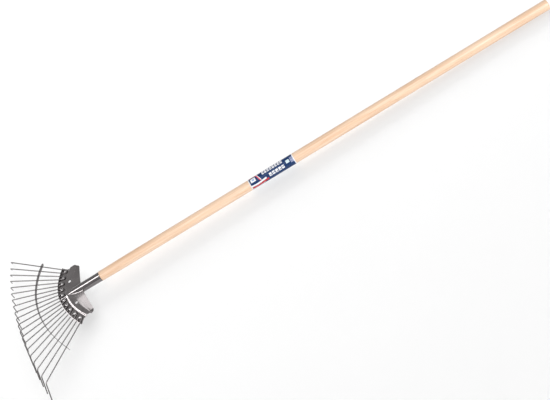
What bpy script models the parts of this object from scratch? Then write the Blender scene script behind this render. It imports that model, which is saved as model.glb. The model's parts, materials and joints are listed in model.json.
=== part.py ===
"""Leaf rake: ten sprung wire hairpins in a pressed steel head, on a long wooden handle.

Head frame, in metres: Y runs along the handle from the tines to the grip, X is
across the fan, Z is up, and the origin is on the handle's axis under the middle
of the front flange. The whole rake is parented to one empty, which lays it on
the ground on its outer tine tips and the handle's butt.
"""
import math

import bmesh
import bpy
from mathutils import Matrix, Vector

GAP = 0.0003

# Handle: a round stave with a thinner neck and a spigot that fills the socket.
HANDLE_RADIUS = 0.014
HANDLE_END = 1.459
HANDLE_EDGE = 0.003
NECK_RADIUS = 0.0134
NECK_LENGTH = 0.07
SPIGOT_END = 0.075
SPIGOT_RADIUS = 0.0110
SPIGOT_TIP_RADIUS = 0.0084
HANDLE_SEGMENTS = 32

# Printed sleeve round the handle, in a shallow seat.
LABEL_START = 0.5815
LABEL_LENGTH = 0.132
LABEL_THICKNESS = 0.0002
LABEL_SEAT = 0.00025

# Socket: a rolled tube that narrows to a point on the head.
SOCKET_MOUTH = 0.125
SOCKET_RADIUS = 0.0129
SHOULDER = 0.072
SHOULDER_RADIUS = 0.0125
NOSE = 0.027
NOSE_RADIUS = 0.0024
NOSE_RISE = 0.0046
NOSE_BLUNTNESS = 3.4
SOCKET_WALL = 0.0016
BORE_END = 0.033
SEAM_WIDTH = 0.0008

# Screw that holds the handle, through the socket's side.
SCREW_AT = 0.104
SCREW_RADIUS = 0.0019
SCREW_LENGTH = 0.017
SCREW_HEAD_RADIUS = 0.0040
SCREW_HEAD_HEIGHT = 0.0019

# Head: one pressed sheet. Heights are above the arched datum, which falls to the sides.
SHEET = 0.0016
ARCH_HALF = 0.0975
ARCH_DROP = 0.0099
FLANGE_HALF = 0.1005
FLANGE_SETBACK = 0.0024
FLANGE_SWEEP = 0.0284
FLANGE_TOP = 0.0070
FLOOR = 0.0020
BEAD_HALF = 0.0865
BEAD_AT = 0.025
BEAD_SWEEP = 0.031
BEAD_TOP = 0.0060
CREST_HALF = 0.087
CREST_AT = 0.0195
CREST_SLOPE = 0.568
CREST_TOP = 0.0058
BACK_AT = 0.0665
BACK_SLOPE = 0.14
BACK_TOP = 0.0036
BACK_DROP = 0.0040
CORNER_RADIUS = 0.012
RIB_HEIGHT = 0.0026
RIB_WIDTH = 0.0030
WING_HOLE_AT = (0.0384, 0.0420)
WING_HOLE_RADIUS = 0.004
# Shares of the half width, closer together at the middle rib and the rounded corner.
PLATE_COLUMNS = (0.0, 0.014, 0.03, 0.06, 0.13, 0.22, 0.33, 0.44, 0.55, 0.66, 0.77, 0.86,
                 0.92, 0.96, 0.985, 1.0)

# Tines: twenty wire legs, counted outward from the middle of the fan.
LEGS_PER_SIDE = 10
WIRE_RADIUS = 0.00145
ROOT_PITCH = 0.01027
ROOT_SETBACK = 0.0016
ROOT_HEIGHT = 0.0043
BEND_PITCH = 0.0221
BEND_SPREAD = 0.03
BEND_AT = -0.1238
BEND_SWEEP = 0.0238
BEND_HALF = 0.216
BEND_HEIGHT = 0.0174
BEND_DROP = 0.0162
BEND_POWER = 2.4
BEND_RADIUS = 0.009
HOOK_LENGTH = 0.0485
HOOK_LEAN = -0.0118
HOOK_SPLAY = 0.29
HOOK_SPLAY_EASE = -0.70
LOOP_RADIUS = 0.00375
LOOP_HEIGHT = 0.0039

# Studs: one rivet in each hairpin's loop.
STUD_SETBACK = 0.011
STUD_SETBACK_STEP = 0.00075
SHANK_RADIUS = 0.002
STUD_HEAD_RADIUS = 0.0038
STUD_HEAD_UNDER = 0.00365
STUD_HEAD_TOP = 0.0049
STUD_TAIL_RADIUS = 0.0031
STUD_TAIL_HEIGHT = 0.0010
STUD_SEGMENTS = 14

# Brace: a narrow strip on edge that the tines pass through.
BRACE_HALF = 0.1556
BRACE_AT = -0.0612
BRACE_SWEEP = 0.0383
BRACE_REACH = 0.1447
BRACE_HEIGHT = 0.0104
BRACE_DROP = 0.0146
BRACE_POWER = 2.3
BRACE_DEPTH = 0.008
BRACE_THICKNESS = 0.0012
BRACE_COLUMNS = 28

HOLE_CLEARANCE = 0.0004
HOLE_SEGMENTS = 10


def clear_scene():
    for old in list(bpy.data.objects):
        bpy.data.objects.remove(old)


def new_collection(name):
    group = bpy.data.collections.new(name)
    bpy.context.scene.collection.children.link(group)
    return group


def finish_material(name, colour, roughness, metallic):
    made = bpy.data.materials.new(name)
    made.use_nodes = True
    shader = made.node_tree.nodes["Principled BSDF"]
    shader.inputs["Base Color"].default_value = (*colour, 1.0)
    shader.inputs["Roughness"].default_value = roughness
    shader.inputs["Metallic"].default_value = metallic
    return made


def add_object(name, data, group, parent, finish=None):
    made = bpy.data.objects.new(name, data)
    group.objects.link(made)
    made.parent = parent
    if finish is not None:
        data.materials.append(finish)
    return made


def smooth(made, angle=35.0):
    made.data.shade_smooth()
    made.data.set_sharp_from_angle(angle=math.radians(angle))


def hide_cutter(cutter):
    cutter.hide_render = True
    cutter.display_type = "WIRE"


def subtract(made, cutter):
    cut = made.modifiers.new("cut_" + cutter.name, "BOOLEAN")
    cut.operation = "DIFFERENCE"
    cut.solver = "EXACT"
    cut.object = cutter


def turned_mesh(name, profile, closed=False):
    """Profile of (radius, height) points, down the outer side, in the XZ plane."""
    points = [(radius, 0.0, height) for radius, height in profile]
    edges = [(i, i + 1) for i in range(len(points) - 1)]
    if closed:
        edges.append((len(points) - 1, 0))
    mesh = bpy.data.meshes.new(name)
    mesh.from_pydata(points, edges, [])
    return mesh


def spin(made, segments):
    screw = made.modifiers.new("turn", "SCREW")
    screw.steps = segments
    screw.render_steps = segments
    screw.use_merge_vertices = True
    screw.merge_threshold = 0.00001
    screw.use_smooth_shade = True
    return made


def cylinder_cutter(name, spans, radius, group, parent, segments=14):
    """One cutter object holding a cylinder from start to end for each span."""
    form = bmesh.new()
    for start, end in spans:
        along = end - start
        turn = along.to_track_quat("Z", "Y").to_matrix().to_4x4()
        place = Matrix.Translation((start + end) / 2) @ turn
        bmesh.ops.create_cone(form, cap_ends=True, segments=segments, radius1=radius,
                              radius2=radius, depth=along.length, matrix=place)
    mesh = bpy.data.meshes.new(name)
    form.to_mesh(mesh)
    form.free()
    cutter = add_object(name, mesh, group, parent)
    hide_cutter(cutter)
    return cutter


def wire_curve(name, path, radii, bevel_resolution):
    """Round bar through the path's points, with a radius at each point."""
    curve = bpy.data.curves.new(name, "CURVE")
    curve.dimensions = "3D"
    curve.bevel_depth = 1.0
    curve.bevel_resolution = bevel_resolution
    curve.use_fill_caps = True
    spline = curve.splines.new("POLY")
    spline.points.add(len(path) - 1)
    for point, place, radius in zip(spline.points, path, radii):
        point.co = (*place, 1.0)
        point.radius = radius
    return curve


def curve_to_mesh_object(made, group, parent, finish=None):
    """Replace a curve object by a welded mesh object of the same name and place."""
    graph = bpy.context.evaluated_depsgraph_get()
    mesh = bpy.data.meshes.new_from_object(made.evaluated_get(graph))
    form = bmesh.new()
    form.from_mesh(mesh)
    bmesh.ops.remove_doubles(form, verts=form.verts, dist=0.000001)
    form.to_mesh(mesh)
    form.free()
    name = made.name
    place = made.matrix_world.copy()
    bpy.data.objects.remove(made)
    mesh.materials.clear()
    solid = add_object(name, mesh, group, parent, finish)
    solid.matrix_world = place
    return solid


def arch(x):
    """Height of the arched datum at a distance x from the middle."""
    return -ARCH_DROP * (x / ARCH_HALF) ** 2


# ---- tine geometry -------------------------------------------------------------


def leg_root(side, leg):
    x = ROOT_PITCH * (leg + 0.5)
    y = ROOT_SETBACK + FLANGE_SWEEP * (x / ARCH_HALF) ** 2
    return Vector((side * x, y, ROOT_HEIGHT + arch(x)))


def leg_bend(side, leg):
    """Sharp corner of a leg, before its bend is rounded."""
    step = leg + 0.5
    outermost = LEGS_PER_SIDE - 0.5
    x = BEND_PITCH * step * (1.0 + BEND_SPREAD * (step / outermost) ** 2)
    y = BEND_AT + BEND_SWEEP * (x / BEND_HALF) ** 2
    z = BEND_HEIGHT - BEND_DROP * (x / BEND_HALF) ** BEND_POWER
    return Vector((side * x, y, z))


def leg_hook(side, leg):
    """Vector from a leg's corner to its tip: down, forward and splayed outward."""
    x = abs(leg_bend(side, leg).x)
    splay = HOOK_SPLAY * x + HOOK_SPLAY_EASE * x * x
    drop = math.sqrt(HOOK_LENGTH ** 2 - splay ** 2 - HOOK_LEAN ** 2)
    return Vector((side * splay, HOOK_LEAN, -drop))


def rounded_corner(before, corner, after, radius, steps):
    """Points of the arc that rounds the corner between two straight runs."""
    back = (before - corner).normalized()
    ahead = (after - corner).normalized()
    half_angle = back.angle(ahead) / 2.0
    bisector = (back + ahead).normalized()
    centre = corner + bisector * (radius / math.sin(half_angle))
    start = corner + back * (radius / math.tan(half_angle))
    axis = back.cross(ahead).normalized()
    sweep = math.pi - 2.0 * half_angle
    arm = start - centre
    return [centre + Matrix.Rotation(-sweep * i / steps, 3, axis) @ arm for i in range(steps + 1)]


def stud_place(side, pair):
    """Centre of a stud on the channel floor, behind the roots of its two legs."""
    legs = (2 * pair, 2 * pair + 1)
    root = sum((leg_root(side, leg) for leg in legs), Vector()) / 2
    bend = sum((leg_bend(side, leg) for leg in legs), Vector()) / 2
    ahead = (bend - root).to_2d().normalized()
    setback = STUD_SETBACK + STUD_SETBACK_STEP * pair
    place = root.to_2d() - ahead * setback
    return Vector((place.x, place.y, FLOOR + arch(place.x))), ahead


def hairpin_path(side, pair):
    """Tip, hook, leg, loop round the stud, and back to the other tip."""
    legs = []
    for leg in (2 * pair, 2 * pair + 1):
        corner = leg_bend(side, leg)
        tip = corner + leg_hook(side, leg)
        root = leg_root(side, leg)
        bend = rounded_corner(tip, corner, root, BEND_RADIUS, 4)
        legs.append([tip, *bend, root])
    centre, ahead = stud_place(side, pair)
    across = Vector((-ahead.y, ahead.x)) * -side
    loop = []
    for i in range(8):
        turn = math.pi * i / 7
        flat = centre.to_2d() - across * (LOOP_RADIUS * math.cos(turn)) - ahead * (
            LOOP_RADIUS * math.sin(turn))
        loop.append(Vector((flat.x, flat.y, LOOP_HEIGHT + arch(flat.x))))
    first_root = legs[0][-1]
    if (loop[0] - first_root).length > (loop[-1] - first_root).length:
        loop.reverse()
    return [*legs[0], *loop, *reversed(legs[1])]


def brace_height(x):
    return BRACE_HEIGHT - BRACE_DROP * (abs(x) / BRACE_REACH) ** BRACE_POWER


def brace_line(x):
    return BRACE_AT + BRACE_SWEEP * (x / BRACE_REACH) ** 2


def brace_crossing(side, leg):
    """Point of a straight leg that lies on the brace's curve."""
    root = leg_root(side, leg)
    bend = leg_bend(side, leg)
    low, high = 0.0, 1.0
    for _ in range(40):
        middle = (low + high) / 2
        place = root.lerp(bend, middle)
        if place.y > brace_line(place.x):
            low = middle
        else:
            high = middle
    return place


# ---- parts ---------------------------------------------------------------------


def make_handle(parts, cutters, frame, wood):
    label_end = LABEL_START + LABEL_LENGTH
    seat_radius = HANDLE_RADIUS - LABEL_SEAT
    edge = [(HANDLE_RADIUS - HANDLE_EDGE * (1.0 - math.sin(math.radians(angle))),
             HANDLE_END - HANDLE_EDGE * (1.0 - math.cos(math.radians(angle))))
            for angle in (0, 22.5, 45, 67.5, 90)]
    profile = [
        (0.0, HANDLE_END),
        *edge,
        (HANDLE_RADIUS, label_end + GAP),
        (seat_radius, label_end + GAP),
        (seat_radius, LABEL_START - GAP),
        (HANDLE_RADIUS, LABEL_START - GAP),
        (HANDLE_RADIUS, SOCKET_MOUTH + NECK_LENGTH),
        (NECK_RADIUS, SOCKET_MOUTH + 0.0012),
        (NECK_RADIUS - 0.0008, SOCKET_MOUTH + GAP),
        (SPIGOT_RADIUS, SOCKET_MOUTH + GAP),
        (SPIGOT_RADIUS - 0.0005, SPIGOT_END + 0.004),
        (SPIGOT_TIP_RADIUS, SPIGOT_END),
        (0.0, SPIGOT_END),
    ]
    handle = add_object("handle", turned_mesh("handle", profile), parts, frame, wood)
    handle.rotation_euler = (math.radians(-90), 0, 0)
    spin(handle, HANDLE_SEGMENTS)
    start = Vector((-HANDLE_RADIUS - 0.002, SCREW_AT, 0))
    end = Vector((-SOCKET_RADIUS + SCREW_LENGTH + 0.001, SCREW_AT, 0))
    pilot = cylinder_cutter("handle_pilot_cutter", [(start, end)], SCREW_RADIUS + GAP,
                            cutters, frame)
    subtract(handle, pilot)


def make_label(parts, frame, film):
    inner = HANDLE_RADIUS - LABEL_SEAT + GAP
    outer = inner + LABEL_THICKNESS
    top = LABEL_START + LABEL_LENGTH
    profile = [(outer, top), (outer, LABEL_START), (inner, LABEL_START), (inner, top)]
    label = add_object("handle_label", turned_mesh("handle_label", profile, closed=True),
                       parts, frame, film)
    label.rotation_euler = (math.radians(-90), 0, 0)
    spin(label, HANDLE_SEGMENTS)


def socket_stations(clearance=0.0, end=NOSE):
    """Centre and radius of the socket's outer skin, from its mouth to its blunt nose."""
    stations = [(Vector((0, SOCKET_MOUTH, 0)), SOCKET_RADIUS + clearance)]
    steps = 10
    for i in range(steps + 1):
        share = 1.0 - (1.0 - i / steps) ** 1.5
        y = SHOULDER + (end - SHOULDER) * share
        run = max((y - NOSE) / (SHOULDER - NOSE), 0.0)
        fullness = 1.0 - (1.0 - run) ** NOSE_BLUNTNESS
        radius = NOSE_RADIUS + (SHOULDER_RADIUS - NOSE_RADIUS) * fullness
        rise = NOSE_RISE * (1.0 - fullness)
        stations.append((Vector((0, y, rise)), radius + clearance))
    return stations


def socket_form(name, stations, group, frame, finish=None):
    path = [place for place, radius in stations]
    radii = [radius for place, radius in stations]
    bar = add_object(name, wire_curve(name, path, radii, 10), group, None)
    bpy.context.view_layer.update()
    return curve_to_mesh_object(bar, group, frame, finish)


def make_socket(parts, cutters, frame, steel):
    socket = socket_form("socket", socket_stations(), parts, frame, steel)
    bore = socket_stations(-SOCKET_WALL, BORE_END)
    bore.insert(0, (Vector((0, SOCKET_MOUTH + 0.01, 0)), SOCKET_RADIUS - SOCKET_WALL))
    bore_cutter = socket_form("socket_bore_cutter", bore, cutters, frame)
    hide_cutter(bore_cutter)
    subtract(socket, bore_cutter)

    mesh = bpy.data.meshes.new("socket_seam_cutter")
    form = bmesh.new()
    bmesh.ops.create_cube(form, size=1.0)
    length = SOCKET_MOUTH + 0.01 - SHOULDER
    bmesh.ops.scale(form, verts=form.verts, vec=(SEAM_WIDTH, length, 0.008))
    form.to_mesh(mesh)
    form.free()
    seam = add_object("socket_seam_cutter", mesh, cutters, frame)
    seam.location = (0, SHOULDER + length / 2, -SOCKET_RADIUS)
    hide_cutter(seam)
    subtract(socket, seam)

    start = Vector((-SOCKET_RADIUS - 0.004, SCREW_AT, 0))
    end = Vector((-0.004, SCREW_AT, 0))
    hole = cylinder_cutter("socket_screw_cutter", [(start, end)], SCREW_RADIUS + GAP,
                           cutters, frame)
    subtract(socket, hole)
    smooth(socket)
    return socket


def make_screw(parts, frame, steel):
    under = GAP
    top = under + SCREW_HEAD_HEIGHT
    profile = [
        (0.0, top),
        (0.0022, top - 0.0003),
        (0.0036, top - 0.0010),
        (SCREW_HEAD_RADIUS, under + 0.0003),
        (SCREW_HEAD_RADIUS - 0.0003, under),
        (SCREW_RADIUS, under),
        (SCREW_RADIUS, under - SCREW_LENGTH + 0.004),
        (0.0, under - SCREW_LENGTH),
    ]
    screw = add_object("socket_screw", turned_mesh("socket_screw", profile), parts, frame, steel)
    screw.rotation_euler = (0, math.radians(-90), 0)
    screw.location = (-SOCKET_RADIUS, SCREW_AT, 0)
    spin(screw, 16)


def plate_column(share):
    """One section of the pressed head, flange to back edge, at a share of its half width."""
    flange = Vector((share * FLANGE_HALF, 0))
    flange.y = FLANGE_SETBACK + FLANGE_SWEEP * (flange.x / ARCH_HALF) ** 2
    bead = Vector((share * BEAD_HALF, 0))
    bead.y = BEAD_AT + BEAD_SWEEP * (bead.x / BEAD_HALF) ** 2
    back = Vector((share * BEAD_HALF, 0))
    back.y = BACK_AT + BACK_SLOPE * back.x
    corner = max(0.0, (back.x - BEAD_HALF + CORNER_RADIUS) / CORNER_RADIUS)
    back.y -= CORNER_RADIUS * (1.0 - math.sqrt(max(0.0, 1.0 - corner ** 2)))
    crest = Vector((share * CREST_HALF, 0))
    crest.y = max(CREST_AT + CREST_SLOPE * crest.x, bead.y + 0.0055)
    crest.y = min(crest.y, back.y - 0.003)

    run = (bead - flange).normalized()
    rise = (crest - bead) / 6.0
    fall = (back - crest) / 4.0
    back_top = BACK_TOP - BACK_DROP * back.x / BEAD_HALF
    floor_middle = (flange + bead) / 2 - Vector((0.0045 * share ** 6, 0))
    section = [
        (flange, FLANGE_TOP),
        (flange + run * 0.0002, 0.0042),
        (flange + run * 0.0010, 0.0026),
        (flange + run * 0.0024, FLOOR),
        (floor_middle, FLOOR),
        (bead - run * 0.0046, FLOOR),
        (bead - run * 0.0028, 0.0031),
        (bead - run * 0.0012, 0.0053),
        (bead, BEAD_TOP),
        (bead + rise * 0.6, BEAD_TOP + (CREST_TOP - BEAD_TOP) * 0.30),
        (bead + rise * 1.7, BEAD_TOP + (CREST_TOP - BEAD_TOP) * 0.90),
        (bead + rise * 3.2, CREST_TOP),
        (bead + rise * 4.8, CREST_TOP),
        (crest, CREST_TOP),
        (crest + fall * 0.8, CREST_TOP + (back_top - CREST_TOP) * 0.12),
        (crest + fall * 2.2, CREST_TOP + (back_top - CREST_TOP) * 0.50),
        (back, back_top),
    ]
    rib = RIB_HEIGHT * math.exp(-(flange.x / RIB_WIDTH) ** 2)
    points = []
    for index, (place, height) in enumerate(section):
        ribbed = height + (rib if 3 <= index <= 7 else 0.0)
        points.append(Vector((place.x, place.y, min(ribbed, FLANGE_TOP) + arch(place.x))))
    return points


def make_head_plate(parts, cutters, frame, steel):
    columns = [plate_column(share) for share in PLATE_COLUMNS]
    rows = len(columns[0])
    points = [point for column in columns for point in column]
    faces = []
    for c in range(len(columns) - 1):
        for r in range(rows - 1):
            low = c * rows + r
            faces.append((low, low + rows, low + rows + 1, low + 1))
    mesh = bpy.data.meshes.new("head_plate")
    mesh.from_pydata([tuple(point) for point in points], [], faces)
    plate = add_object("head_plate", mesh, parts, frame, steel)

    mirror = plate.modifiers.new("both_wings", "MIRROR")
    mirror.use_clip = True
    mirror.merge_threshold = 0.00001
    sheet = plate.modifiers.new("sheet", "SOLIDIFY")
    sheet.thickness = SHEET
    sheet.offset = -1.0
    sheet.use_even_offset = False

    notch = socket_stations(GAP, NOSE - 0.001)
    notch_cutter = socket_form("socket_notch_cutter", notch, cutters, frame)
    hide_cutter(notch_cutter)
    subtract(plate, notch_cutter)

    leg_spans = []
    stud_spans = []
    for side in (-1, 1):
        for leg in range(LEGS_PER_SIDE):
            root = leg_root(side, leg)
            ahead = (leg_bend(side, leg) - root).normalized()
            leg_spans.append((root - ahead * 0.002, root + ahead * 0.003))
        for pair in range(LEGS_PER_SIDE // 2):
            place, _ = stud_place(side, pair)
            up = plate_normal(place.x)
            stud_spans.append((place - up * 0.006, place + up * 0.004))
    subtract(plate, cylinder_cutter("flange_hole_cutter", leg_spans,
                                    WIRE_RADIUS + HOLE_CLEARANCE, cutters, frame,
                                    HOLE_SEGMENTS))
    subtract(plate, cylinder_cutter("stud_hole_cutter", stud_spans, SHANK_RADIUS + GAP,
                                    cutters, frame, STUD_SEGMENTS))
    x, y = WING_HOLE_AT
    wing_spans = [(Vector((side * x, y, -0.02)), Vector((side * x, y, 0.02)))
                  for side in (-1, 1)]
    subtract(plate, cylinder_cutter("wing_hole_cutter", wing_spans, WING_HOLE_RADIUS,
                                    cutters, frame, 18))
    smooth(plate)


def plate_normal(x):
    slope = -2.0 * ARCH_DROP * x / ARCH_HALF ** 2
    return Vector((-slope, 0, 1)).normalized()


def make_tines(parts, frame, wire):
    for side, first in ((-1, 0), (1, LEGS_PER_SIDE // 2)):
        for pair in range(LEGS_PER_SIDE // 2):
            number = (LEGS_PER_SIDE // 2 - pair) if side < 0 else first + pair + 1
            name = f"tine_pair_{number:02d}"
            path = hairpin_path(side, pair)
            curve = wire_curve(name, path, [WIRE_RADIUS] * len(path), 2)
            add_object(name, curve, parts, frame, wire)


def make_studs(parts, frame, steel):
    tail_top = -SHEET - GAP
    tail_end = tail_top - STUD_TAIL_HEIGHT
    profile = [
        (0.0, STUD_HEAD_TOP),
        (0.0021, STUD_HEAD_TOP - 0.0003),
        (STUD_HEAD_RADIUS, STUD_HEAD_UNDER + 0.0003),
        (STUD_HEAD_RADIUS, STUD_HEAD_UNDER),
        (SHANK_RADIUS, STUD_HEAD_UNDER),
        (SHANK_RADIUS, tail_top),
        (STUD_TAIL_RADIUS, tail_top),
        (STUD_TAIL_RADIUS - 0.0006, tail_end),
        (0.0, tail_end),
    ]
    mesh = turned_mesh("tine_stud", profile)
    mesh.materials.append(steel)
    for side, first in ((-1, 0), (1, LEGS_PER_SIDE // 2)):
        for pair in range(LEGS_PER_SIDE // 2):
            number = (LEGS_PER_SIDE // 2 - pair) if side < 0 else first + pair + 1
            stud = add_object(f"tine_stud_{number:02d}", mesh, parts, frame)
            place, _ = stud_place(side, pair)
            stud.location = place
            stud.rotation_euler = plate_normal(place.x).to_track_quat("Z", "Y").to_euler()
            spin(stud, STUD_SEGMENTS)


def make_brace(parts, cutters, frame, steel):
    points = []
    faces = []
    for column in range(BRACE_COLUMNS + 1):
        x = BRACE_HALF * (2.0 * column / BRACE_COLUMNS - 1.0)
        middle = brace_height(x)
        for half in (-0.5, 0.5):
            points.append((x, brace_line(x), middle + half * BRACE_DEPTH))
    for column in range(BRACE_COLUMNS):
        low = 2 * column
        faces.append((low, low + 2, low + 3, low + 1))
    mesh = bpy.data.meshes.new("brace_strip")
    mesh.from_pydata(points, [], faces)
    brace = add_object("brace_strip", mesh, parts, frame, steel)
    sheet = brace.modifiers.new("strip", "SOLIDIFY")
    sheet.thickness = BRACE_THICKNESS
    sheet.offset = 0.0
    spans = []
    for side in (-1, 1):
        for leg in range(LEGS_PER_SIDE):
            place = brace_crossing(side, leg)
            ahead = (leg_bend(side, leg) - leg_root(side, leg)).normalized()
            spans.append((place - ahead * 0.004, place + ahead * 0.004))
    subtract(brace, cylinder_cutter("brace_hole_cutter", spans, WIRE_RADIUS + HOLE_CLEARANCE,
                                    cutters, frame, HOLE_SEGMENTS))
    smooth(brace)


# ---- placing -------------------------------------------------------------------


def world_points(parts):
    bpy.context.view_layer.update()
    graph = bpy.context.evaluated_depsgraph_get()
    points = []
    for made in parts.objects:
        if made.type == "EMPTY":
            continue
        solid = made.evaluated_get(graph)
        mesh = solid.to_mesh()
        points += [solid.matrix_world @ vertex.co for vertex in mesh.vertices]
        solid.to_mesh_clear()
    return points


def lay_on_ground(parts, frame):
    """Tip the rake onto its hook tips and butt, with the box's bottom centre at the origin."""
    points = world_points(parts)
    tilt = 0.0
    for _ in range(8):
        turned = [Matrix.Rotation(tilt, 3, "X") @ point for point in points]
        front = min((p for p in turned if p.y < 0), key=lambda p: p.z)
        rear = min((p for p in turned if p.y > SOCKET_MOUTH), key=lambda p: p.z)
        tilt += (front.z - rear.z) / (rear.y - front.y)
    frame.rotation_euler = (tilt, 0, 0)
    turned = [Matrix.Rotation(tilt, 3, "X") @ point for point in points]
    middle = (min(p.y for p in turned) + max(p.y for p in turned)) / 2
    frame.location = (0, -middle, -min(p.z for p in turned))


def main():
    clear_scene()
    parts = new_collection("leaf_rake")
    cutters = new_collection("leaf_rake_cutters")
    frame = bpy.data.objects.new("rake_frame", None)
    parts.objects.link(frame)

    wood = finish_material("beech_wood", (0.80, 0.58, 0.37), 0.45, 0.0)
    film = finish_material("printed_label", (0.02, 0.06, 0.20), 0.30, 0.0)
    steel = finish_material("graphite_steel", (0.13, 0.12, 0.12), 0.30, 0.85)
    wire = finish_material("spring_wire", (0.11, 0.105, 0.105), 0.35, 0.9)

    make_handle(parts, cutters, frame, wood)
    make_label(parts, frame, film)
    make_socket(parts, cutters, frame, steel)
    make_screw(parts, frame, steel)
    make_head_plate(parts, cutters, frame, steel)
    make_studs(parts, frame, steel)
    make_tines(parts, frame, wire)
    make_brace(parts, cutters, frame, wire)
    lay_on_ground(parts, frame)


main()
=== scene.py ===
"""Looks of the leaf rake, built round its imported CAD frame.

Shapes are in the head frame, in metres: Y runs along the handle from the tines to
the grip, X is across the fan, Z is up, and the origin is on the handle's axis under
the middle of the front flange. Each piece's object holds the head frame's place, so
its own coordinates, which the materials use too, are the head frame's.
"""
import json
import math

import bmesh
import bpy
from mathutils import Matrix, Vector, noise
from mathutils.bvhtree import BVHTree


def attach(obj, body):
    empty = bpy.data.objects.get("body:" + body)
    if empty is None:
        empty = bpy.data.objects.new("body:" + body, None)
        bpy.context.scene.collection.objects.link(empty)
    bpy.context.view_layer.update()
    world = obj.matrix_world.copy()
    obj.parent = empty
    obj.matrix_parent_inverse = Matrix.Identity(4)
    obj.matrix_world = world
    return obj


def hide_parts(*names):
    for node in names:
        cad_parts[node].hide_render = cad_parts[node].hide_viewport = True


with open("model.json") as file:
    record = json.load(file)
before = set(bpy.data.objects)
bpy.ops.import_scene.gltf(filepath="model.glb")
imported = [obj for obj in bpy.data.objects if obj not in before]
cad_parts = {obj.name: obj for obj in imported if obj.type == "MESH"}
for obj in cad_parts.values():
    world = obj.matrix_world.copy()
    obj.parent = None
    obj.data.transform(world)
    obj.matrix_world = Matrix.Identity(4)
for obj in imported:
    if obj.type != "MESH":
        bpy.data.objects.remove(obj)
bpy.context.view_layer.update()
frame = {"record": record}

# Handle and its printed sleeve.
HANDLE_RADIUS = 0.014
HANDLE_END = 1.459
HANDLE_EDGE = 0.003
NECK_RADIUS = 0.0134
NECK_LENGTH = 0.07
SPIGOT_END = 0.075
SPIGOT_RADIUS = 0.0109
HANDLE_WAVE = 0.00012
LABEL_START = 0.5815
LABEL_LENGTH = 0.132
LABEL_INNER = 0.01405
LABEL_OUTER = 0.01425
LABEL_SEAT = 0.00025
LABEL_LAP = 0.00008
LAP_WIDTH = 0.006

# Socket.
SOCKET_MOUTH = 0.125
SOCKET_RADIUS = 0.0129
SHOULDER = 0.072
SHOULDER_RADIUS = 0.0125
NOSE = 0.027
NOSE_RADIUS = 0.0024
NOSE_RISE = 0.0046
NOSE_BLUNTNESS = 3.4
SOCKET_WALL = 0.0016
BORE_END = 0.040
SEAM_HALF = 0.0005
SEAM_DEPTH = 0.0011
FILLET_START = 0.0695
FILLET_END = 0.031
FILLET_WIDTH = 0.0042

# Screw through the socket's side.
SCREW_AT = 0.104
SCREW_RADIUS = 0.0019
SCREW_LENGTH = 0.017
SCREW_HEAD_RADIUS = 0.0040
SCREW_HEAD_HEIGHT = 0.0019
THREAD_PITCH = 0.001
THREAD_TURNS = 12
RECESS_ARM = (0.0042, 0.0008, 0.0022)

# Pressed head. Heights are above the arched datum. From front to back: a lip on the
# flange, the channel floor, the bead, a flat shelf that ends at the crest, and a panel
# that slopes down to the back edge.
SHEET = 0.0016
ARCH_HALF = 0.0975
ARCH_DROP = 0.0099
FLANGE_HALF = 0.1005
FLANGE_SETBACK = 0.0024
FLANGE_SWEEP = 0.0284
FLANGE_TOP = 0.0070
LIP_WIDTH = 0.0010
LIP_FALL = 0.00027
FLOOR = 0.0020
FLOOR_BOW = 0.0045
BEAD_HALF = 0.0865
BEAD_AT = 0.025
BEAD_SWEEP = 0.031
BEAD_TOP = 0.0060
CREST_HALF = 0.087
CREST_AT = 0.0195
CREST_SLOPE = 0.568
CREST_TOP = 0.0058
LEAST_SHELF = 0.0055
LEAST_PANEL = 0.003
BACK_AT = 0.0665
BACK_SLOPE = 0.14
BACK_TOP = 0.0036
BACK_DROP = 0.0040
CORNER_RADIUS = 0.012
RIB_HEIGHT = 0.0026
RIB_WIDTH = 0.0030
# Points of the section between which the middle rib rises, is full and falls again.
RIB_POINTS = (3, 4, 9, 10)
WING_HOLE_AT = (0.0384, 0.0420)
WING_HOLE_RADIUS = 0.004
HEAD_COLUMNS = 76
EVEN_SHARE = 0.35
SECTION_STEPS = (2, 3, 3, 3, 4, 4, 3, 3, 3, 3, 4, 4, 4, 3, 2, 3, 4, 4)

# Tines.
LEGS_PER_SIDE = 10
WIRE_RADIUS = 0.00145
ROOT_PITCH = 0.01027
ROOT_SETBACK = 0.0016
ROOT_HEIGHT = 0.0043
BEND_PITCH = 0.0221
BEND_SPREAD = 0.03
BEND_AT = -0.1238
BEND_SWEEP = 0.0238
BEND_HALF = 0.216
BEND_HEIGHT = 0.0174
BEND_DROP = 0.0162
BEND_POWER = 2.4
BEND_RADIUS = 0.009
HOOK_LENGTH = 0.0485
HOOK_LEAN = -0.0118
HOOK_SPLAY = 0.29
HOOK_SPLAY_EASE = -0.70
LOOP_RADIUS = 0.00375
LOOP_HEIGHT = 0.0039
ROOT_ROUNDING = 0.012

# Studs.
STUD_SETBACK = 0.011
STUD_SETBACK_STEP = 0.00075
SHANK_RADIUS = 0.002
STUD_HEAD_RADIUS = 0.0038
STUD_HEAD_UNDER = 0.00365
STUD_HEAD_TOP = 0.0049
STUD_TAIL_RADIUS = 0.0031
STUD_TAIL_HEIGHT = 0.0010

# Brace.
BRACE_HALF = 0.1556
BRACE_AT = -0.0612
BRACE_SWEEP = 0.0383
BRACE_REACH = 0.1447
BRACE_HEIGHT = 0.0104
BRACE_DROP = 0.0146
BRACE_POWER = 2.3
BRACE_DEPTH = 0.008
BRACE_THICKNESS = 0.0012

HOLE_CLEARANCE = 0.0004
CUT_GAP = 0.0003

# Degrees between faces from which an edge looks sharp. A cut sets this one again.
SHARP = 32.0

# Stage.
FLOOR_RADIUS = 30.0
FLOOR_GAP = 0.0002
FLOOR_GLOW = 0.610
WORLD_STRENGTH = 0.40

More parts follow.
